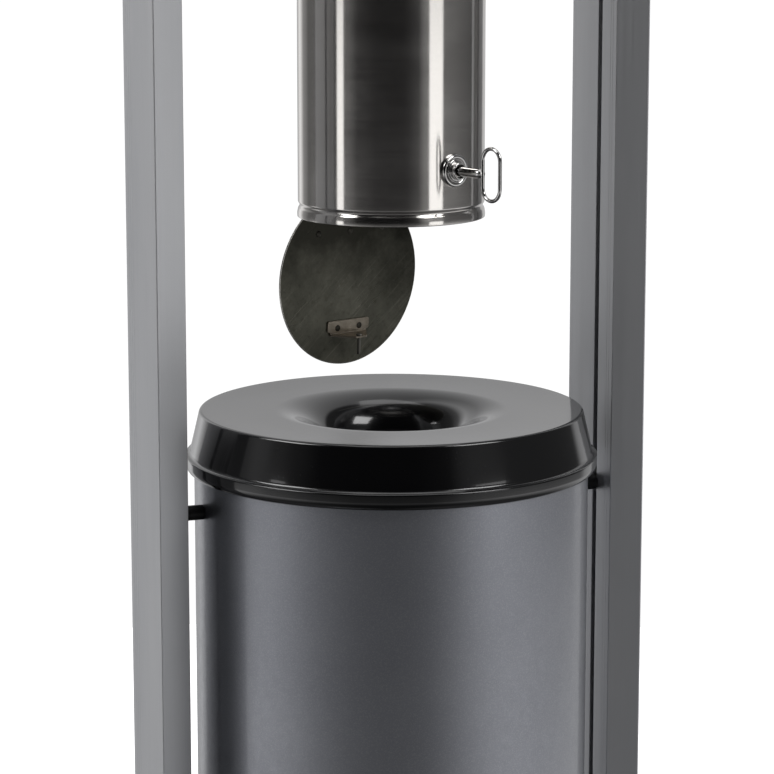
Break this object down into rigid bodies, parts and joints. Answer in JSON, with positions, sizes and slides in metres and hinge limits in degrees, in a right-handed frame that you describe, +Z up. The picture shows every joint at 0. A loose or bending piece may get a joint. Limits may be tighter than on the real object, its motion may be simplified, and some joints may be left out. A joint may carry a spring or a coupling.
{
  "type": "ashtray bin",
  "caption": "Free-standing smoking station: waste bin with funnel lid and lockable bottom-emptying ash tube between two extruded posts on a base plate.",
  "frame": {"origin": "on the floor, under the common axis of the bin and the ash tube, at the bottom centre of the whole station", "axes": "+Z up, +X from the left post to the right post, -Y towards the front"},
  "size_m": [0.5, 0.35, 1.134],
  "materials": {
    "galvanised_plate": "hot-dip galvanised steel plate, dull grey",
    "anodised_aluminium": "satin silver anodised extrusion",
    "black_plastic": "black moulded plastic, satin",
    "zinc_screws": "zinc-plated steel",
    "bin_paint": "metallic silver-grey powder coat, semi-gloss",
    "galvanised_sheet": "galvanised sheet steel",
    "lid_black": "gloss black stove enamel",
    "brushed_stainless": "stainless steel, brushed",
    "dull_stainless": "stainless steel stained by ash, dull",
    "bright_zinc": "bright zinc-plated steel",
    "lock_chrome": "polished chrome",
    "lock_steel": "turned steel, dark"
  },
  "bodies": {
    "frame": {"base_plate": "galvanised_plate", "left_post": "anodised_aluminium", "right_post": "anodised_aluminium", "left_post_cap": "black_plastic", "right_post_cap": "black_plastic", "post_foot_screws": "zinc_screws", "bin_body": "bin_paint", "bin_bottom": "galvanised_sheet", "bin_standoff_left_low": "black_plastic", "bin_standoff_left_high": "black_plastic", "bin_standoff_right_low": "black_plastic", "bin_standoff_right_high": "black_plastic", "bin_screws": "zinc_screws", "bin_slot_nuts": "zinc_screws", "ash_tube": "brushed_stainless", "grid_seat_ring": "brushed_stainless", "tube_standoff_left_low": "black_plastic", "tube_standoff_left_high": "black_plastic", "tube_standoff_right_low": "black_plastic", "tube_standoff_right_high": "black_plastic", "tube_screws": "zinc_screws", "tube_slot_nuts": "zinc_screws", "hinge_plate": "dull_stainless", "hinge_fixed_leaf": "dull_stainless", "hinge_pin": "dull_stainless", "hinge_plate_rivets": "dull_stainless", "lock_rosette": "lock_chrome", "lock_body": "lock_chrome", "lock_nut": "zinc_screws"},
    "lid": {"bin_lid": "lid_black"},
    "liner": {"bin_liner": "galvanised_sheet"},
    "grid": {"stub_grid": "brushed_stainless"},
    "flap": {"hinge_flap_leaf": "dull_stainless", "flap_disc": "dull_stainless", "flap_rivets": "dull_stainless", "catch_bracket": "bright_zinc", "catch_pin": "dull_stainless"},
    "lock_core": {"lock_plug": "lock_steel", "lock_cam": "bright_zinc", "cam_screw": "zinc_screws"},
    "key": {"key": "lock_chrome"}
  },
  "joints": [
    {"name": "flap_swing", "type": "hinge", "parent": "frame", "child": "flap", "pos_m": [-0.02007, 0.05228, 0.7221], "axis": [-0.9336, -0.3584, 0], "range_deg": [-70, 93]},
    {"name": "key_turn", "type": "hinge", "parent": "frame", "child": "lock_core", "pos_m": [0, 0, 0.7685], "axis": [-0.3584, 0.9336, 0], "range_deg": [0, 90]},
    {"name": "key_pull", "type": "slide", "parent": "lock_core", "child": "key", "axis": [0.3584, -0.9336, 0], "range_m": [0, 0.045]},
    {"name": "lid_lift", "type": "slide", "parent": "frame", "child": "lid", "axis": [0, 0, 1], "range_m": [0, 0.026]},
    {"name": "grid_lift", "type": "slide", "parent": "frame", "child": "grid", "axis": [0, 0, 1], "range_m": [0, 0.04]},
    {"name": "liner_lift", "type": "slide", "parent": "frame", "child": "liner", "axis": [0, 0, 1], "range_m": [0, 0.03]}
  ]
}
